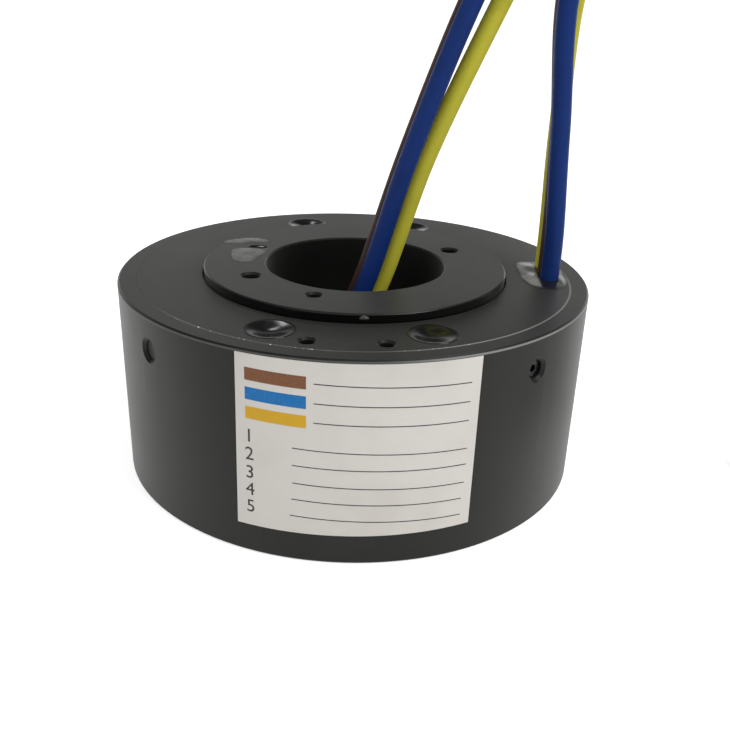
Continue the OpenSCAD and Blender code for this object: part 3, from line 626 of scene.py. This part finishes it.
def make_label(finishes):
    """A bare form: a wiring key of three coloured swatches at the top, then five numbered and ruled lines."""
    bottom_left, bottom_right, top_right, top_left = (np.array(c) for c in LABEL_CORNERS)
    rows, columns = 24, 60
    grid = []
    for i in range(rows + 1):
        left = bottom_left + (top_left - bottom_left) * i / rows
        right = bottom_right + (top_right - bottom_right) * i / rows
        grid.append([tuple(left + (right - left) * j / columns) for j in range(columns + 1)])
    outer = np.array([[on_film(a, z) for a, z in row] for row in grid])
    inner = np.array([[on_wall(a, HOUSING_R, z) for a, z in row] for row in grid])
    points, faces = slab(outer, inner)
    mesh_object("label_film_sheet", points, faces, "stator", finishes["label_film"], "label_film", ["label"])
    black = finishes["label_ink"]
    for i, (start, end) in enumerate(RULES, 1):
        print_mark(f"label_rule_{i}", bar(start, end, RULE_W), black)
        numeral(str(i), NUMERAL_AZ, start[1] - NUMERAL_DROP * i, NUMERAL_H, black)
    for i, name in enumerate(KEY_COLOURS):
        z = KEY_Z - KEY_PITCH * i
        swatch, line = ([(azimuth, z + up) for azimuth, up in ends] for ends in (SWATCH, KEY_LINE))
        print_mark("label_key_" + name, bar(*swatch, SWATCH_H), finishes["key_" + name])
        print_mark("label_key_line_" + name, bar(*line, RULE_W), black)


# ---------------------------------------------------------------- resin

def circle(r, sides=48):
    """Points of a circle round the origin."""
    angles = np.linspace(0, 2 * math.pi, sides, endpoint=False)
    return [(r * math.cos(a), r * math.sin(a)) for a in angles]


def lathe(profile, sides=48):
    """Points and faces of a solid turned from (radius, height) pairs, which start and end on the axis."""
    points = [(0, 0, profile[0][1])]
    for r, z in profile[1:-1]:
        points += [(x, y, z) for x, y in circle(r, sides)]
    points.append((0, 0, profile[-1][1]))
    faces = [(0, 1 + (k + 1) % sides, 1 + k) for k in range(sides)]
    for ring in range(len(profile) - 3):
        a, b = 1 + ring * sides, 1 + (ring + 1) * sides
        faces += [(a + k, a + (k + 1) % sides, b + (k + 1) % sides, b + k) for k in range(sides)]
    last, top = 1 + (len(profile) - 3) * sides, len(points) - 1
    faces += [(last + k, last + (k + 1) % sides, top) for k in range(sides)]
    return points, faces


def patch(outline, crown, sink, rings=10):
    """Points, faces and rim values of a closed lens over the plane z = 0. Its height is crown(t, x, y), where
    t goes from 0 in the middle to 1 at the outline, as the rim value does. Its flat bottom lies at -sink."""
    outline = [np.array(q, float) for q in outline]
    middle = sum(outline) / len(outline)
    count = len(outline)
    points, rim = [(*middle, crown(0.0, *middle))], [0.0]
    for ring in range(1, rings + 1):
        t = ring / rings
        for corner in outline:
            x, y = middle + (corner - middle) * t
            points.append((x, y, crown(t, x, y)))
            rim.append(t)
    points += [(x, y, -sink) for x, y in outline]
    rim += [1.0] * count
    faces = [(0, 1 + k, 1 + (k + 1) % count) for k in range(count)]
    for ring in range(rings):
        a, b = 1 + ring * count, 1 + (ring + 1) * count
        faces += [(a + k, b + k, b + (k + 1) % count, a + (k + 1) % count) for k in range(count)]
    last = 1 + rings * count
    faces.append(tuple(last + k for k in reversed(range(count))))
    return points, faces, rim


def make_screw_resin(finishes):
    """The epoxy over the four block screws. It wets the counterbore's edge, and its dish leans sideways."""
    r = COUNTERBORE_D / 2
    bottom = SCREW_HEAD_H - COUNTERBORE_DEPTH
    profile = [(0, bottom), (r - 0.03, bottom), (r - 0.03, 0), (r + 0.4, 0), (r + 0.36, 0.05),
               (r + 0.1, 0.06), (r - 0.3, 0.0), (r - 0.9, -0.12), (r - 1.6, -0.28), (r - 2.3, -0.46),
               (r - 3.0, -0.58), (0, -0.63)]
    cup, cup_faces = lathe(profile)
    points, faces = [], []
    for azimuth, (lean_x, lean_y) in zip(BLOCK_SCREW_AZ, DISH_LEAN):
        middle_x, middle_y, _ = on_wall(azimuth, BLOCK_SCREW_R, 0)
        start = len(points)
        for x, y, z in cup:
            # Only the dish leans, by its depth under its rim
            in_dish = math.hypot(x, y) < r - 0.05 and z > bottom + 0.01
            dip = max(0.0, -z - 0.05) if in_dish else 0.0
            points.append((middle_x + x + lean_x * dip, middle_y + y + lean_y * dip, HOUSING_H + z))
        faces += [tuple(start + k for k in face) for face in cup_faces]
    mesh_object("screw_resin_menisci", points, faces, "stator", finishes["potting_resin"], "potting_resin",
                ["screw_resin"])


def make_vent_resin(finishes):
    """The epoxy in the vent hole, with a shallow dish on top."""
    low, high = (np.array(corner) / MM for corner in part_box("vent_resin"))
    middle = (low + high) / 2
    r = (high[0] - low[0]) / 2
    bottom = low[2] - ROTOR_TOP
    profile = [(0, bottom), (r, bottom), (r, -0.1), (r - 0.3, -0.18), (r - 0.8, -0.26), (0, -0.3)]
    points, faces = lathe(profile, 32)
    points = [(middle[0] + x, middle[1] + y, ROTOR_TOP + z) for x, y, z in points]
    mesh_object("vent_resin_dish", points, faces, "rotor", finishes["potting_resin"], "potting_resin",
                ["vent_resin"])


def smear(name, outline, z, height, body, finish):
    """A thin glossy skin of epoxy on a flat top, rippled, and highest in the middle."""

    def crown(t, x, y):
        ripple = 1 + 0.5 * math.sin(1.1 * x + 0.4) * math.cos(0.9 * y + 0.2 * x)
        return SKIN_T + height * (1 - t ** 2) * ripple

    points, faces, rim = patch(catmull_rom(outline, SMEAR_STEP, closed=True), crown, SKIN_T)
    piece = mesh_object(name, [(x, y, up + z) for x, y, up in points], faces, body, finish, "potting_resin")
    layer = piece.data.attributes.new("rim", "FLOAT", "POINT")
    layer.data.foreach_set("value", np.array(rim, np.float32))


def make_smears(finishes):
    """The skin round the stator leads and the thin wipe marks beside the vent hole, both lightened by a pale
    painted reflection.
    """
    smear_painted_reflection, thin = finishes["resin_smear"], finishes["resin_wipe"]
    smear("stator_lead_smear", LEAD_SMEAR, HOUSING_H, LEAD_SMEAR_H, "stator", smear_painted_reflection)
    smear("vent_smear_back", BACK_WIPE, ROTOR_TOP, WIPE_H, "rotor", thin)
    smear("vent_smear_front", FRONT_WIPE, ROTOR_TOP, WIPE_H, "rotor", thin)


def make_side_hole_fill(finishes):
    """Lacquer that fills the left front screw hole to a shallow dish, a little askew."""

    def dish(t, x, _):
        return 0.12 * t ** 3 + 0.03 * x

    points, faces, _ = patch(circle(LACQUER_R), dish, LACQUER_T, 8)
    outward = (Matrix.Rotation(math.radians(COVER_SCREW_AZ), 4, "Z")
               @ Matrix.Translation((HOUSING_R - LACQUER_SINK, 0, COVER_SCREW_Z))
               @ Matrix.Rotation(math.radians(90), 4, "Y"))
    mesh_object("cover_screw_lacquer", [outward @ Vector(p) for p in points], faces, "stator",
                finishes["anodised_housing"], "anodised_housing")


def make_drop(finishes):
    """A drop of epoxy that hangs on the front edge of the flange ring: a ball, flattened, and wider below."""
    profile = [(math.sin(a), -math.cos(a)) for a in np.linspace(0, math.pi, 9)]
    ball, faces = lathe(profile, 14)
    points = [(x * (1 - DROP_TAPER * z), y, z) for x, y, z in ball]
    points = np.array(points) * DROP_HALF + DROP_AT
    # The drop has no rim values, so the wipe finish's pale painted reflection covers all of it
    mesh_object("flange_resin_drop", points, faces, "rotor", finishes["resin_wipe"], "potting_resin")


# ---------------------------------------------------------------- camera, light and floor

def make_camera():
    """The camera, turned from a level look along +Y: to the side, down, then about its own line of sight."""
    data = bpy.data.cameras.new("camera")
    data.sensor_width = SENSOR
    data.lens = FOCAL * SENSOR
    data.shift_x = 0.5 - VIEW_CENTRE[0]
    data.shift_y = VIEW_CENTRE[1] - 0.5
    data.clip_start = 1 * MM
    camera = bpy.data.objects.new("camera", data)
    ahead = Vector((-math.sin(YAW) * math.cos(PITCH), math.cos(YAW) * math.cos(PITCH), -math.sin(PITCH)))
    level = Vector((math.cos(YAW), math.sin(YAW), 0))
    upright = level.cross(ahead)
    right = math.cos(ROLL) * level + math.sin(ROLL) * upright
    up = -math.sin(ROLL) * level + math.cos(ROLL) * upright
    camera.matrix_world = (Matrix.Translation(Vector(CAMERA_AT) * MM)
                           @ Matrix((right, up, -ahead)).transposed().to_4x4())
    bpy.context.scene.collection.objects.link(camera)
    bpy.context.scene.camera = camera


def seen_white(tree):
    """A node output that is 1 for camera, glossy and transmission rays, and 0 for the rest."""
    path = tree.nodes.new("ShaderNodeLightPath")
    seen = Field(tree, path.outputs["Is Camera Ray"])
    for name in ("Is Glossy Ray", "Is Transmission Ray"):
        seen = seen.math("MAXIMUM", Field(tree, path.outputs[name]))
    return seen.socket


def mixed(tree, factor, first, second):
    """The output of a Mix Shader node: the first shader at a factor of 0, the second at 1."""
    node = tree.nodes.new("ShaderNodeMixShader")
    for source, socket in zip((factor, first, second), node.inputs):
        tree.links.new(source, socket)
    return node.outputs[0]


def room_light(tree):
    """Strength of the room that gloss sees: bright along the horizon and overhead, dim between, and a little
    brighter on the right."""
    where = tree.nodes.new("ShaderNodeTexCoord")
    split = tree.nodes.new("ShaderNodeSeparateXYZ")
    tree.links.new(where.outputs["Generated"], split.inputs[0])
    across, height = Field(tree, split.outputs["X"]), Field(tree, split.outputs["Z"])
    horizon, overhead = height.smooth(0.4, 0.14), height.smooth(0.75, 0.92)
    right = across.smooth(0.05, 0.3) * height.smooth(0.6, 0.4)
    return (horizon.math("MAXIMUM", overhead) * 0.95 + 0.05 + right * 0.4).socket


def make_world():
    """Even white light. The camera sees white all round, and gloss sees a room."""
    world = bpy.data.worlds.new("studio")
    world.use_nodes = True
    tree = world.node_tree
    plain = tree.nodes["Background"]
    white, room = (tree.nodes.new("ShaderNodeBackground") for _ in range(2))
    for node, strength in ((plain, 0.72), (white, 1.0), (room, 1.0)):
        node.inputs["Color"].default_value = (1, 1, 1, 1)
        node.inputs["Strength"].default_value = strength
    tree.links.new(room_light(tree), room.inputs["Strength"])
    path = tree.nodes.new("ShaderNodeLightPath")
    seen = mixed(tree, path.outputs["Is Glossy Ray"], white.outputs[0], room.outputs[0])
    whole = mixed(tree, seen_white(tree), plain.outputs[0], seen)
    tree.links.new(whole, tree.nodes["World Output"].inputs["Surface"])
    bpy.context.scene.world = world


def make_floor():
    """A floor that keeps the part's soft shadow, and glows for the camera and for gloss until it is white."""
    material = bpy.data.materials.new("studio_floor")
    material.use_nodes = True
    tree = material.node_tree
    shader = tree.nodes["Principled BSDF"]
    shader.inputs["Base Color"].default_value = (0.8, 0.8, 0.8, 1)
    shader.inputs["Roughness"].default_value = 1.0
    shader.inputs["Specular IOR Level"].default_value = 0.0
    glow = tree.nodes.new("ShaderNodeEmission")
    glow.inputs["Strength"].default_value = 0.6
    glowing = tree.nodes.new("ShaderNodeAddShader")
    tree.links.new(shader.outputs[0], glowing.inputs[0])
    tree.links.new(glow.outputs[0], glowing.inputs[1])
    whole = mixed(tree, seen_white(tree), shader.outputs[0], glowing.outputs[0])
    tree.links.new(whole, tree.nodes["Material Output"].inputs["Surface"])
    mesh = bpy.data.meshes.new("floor")
    half = FLOOR_SIZE * MM / 2
    corners = ((-half, -half), (half, -half), (half, half), (-half, half))
    mesh.from_pydata([(x, y, -FLOOR_DROP * MM) for x, y in corners], [], [(0, 1, 2, 3)])
    mesh.materials.append(material)
    floor = bpy.data.objects.new("floor", mesh)
    bpy.context.scene.collection.objects.link(floor)


def make_lamp(name, at, size, watts):
    """A square soft box that faces the lit point."""
    data = bpy.data.lights.new(name, "AREA")
    data.size = size * MM
    data.energy = watts
    lamp = bpy.data.objects.new(name, data)
    lamp.location = Vector(at) * MM
    lamp.rotation_euler = (Vector(LIT_POINT) - Vector(at)).to_track_quat("-Z", "Y").to_euler()
    bpy.context.scene.collection.objects.link(lamp)


def make_studio():
    """The world, the floor and the soft boxes, with colours shown as they are."""
    make_world()
    make_floor()
    for name, (at, size, watts) in LAMPS.items():
        make_lamp(name, at, size, watts)
    bpy.context.scene.view_settings.view_transform = "Standard"


# ---------------------------------------------------------------- the scene

def main():
    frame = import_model()
    make_camera()
    finishes = make_finishes()
    make_leads(finishes)
    for row in frame["record"]["subparts"]:
        frame["nodes"][row["node"]].material_slots[0].material = finishes[row["material_slot"]]
    make_label(finishes)
    make_screw_resin(finishes)
    make_vent_resin(finishes)
    make_smears(finishes)
    make_side_hole_fill(finishes)
    make_drop(finishes)
    make_studio()


main()
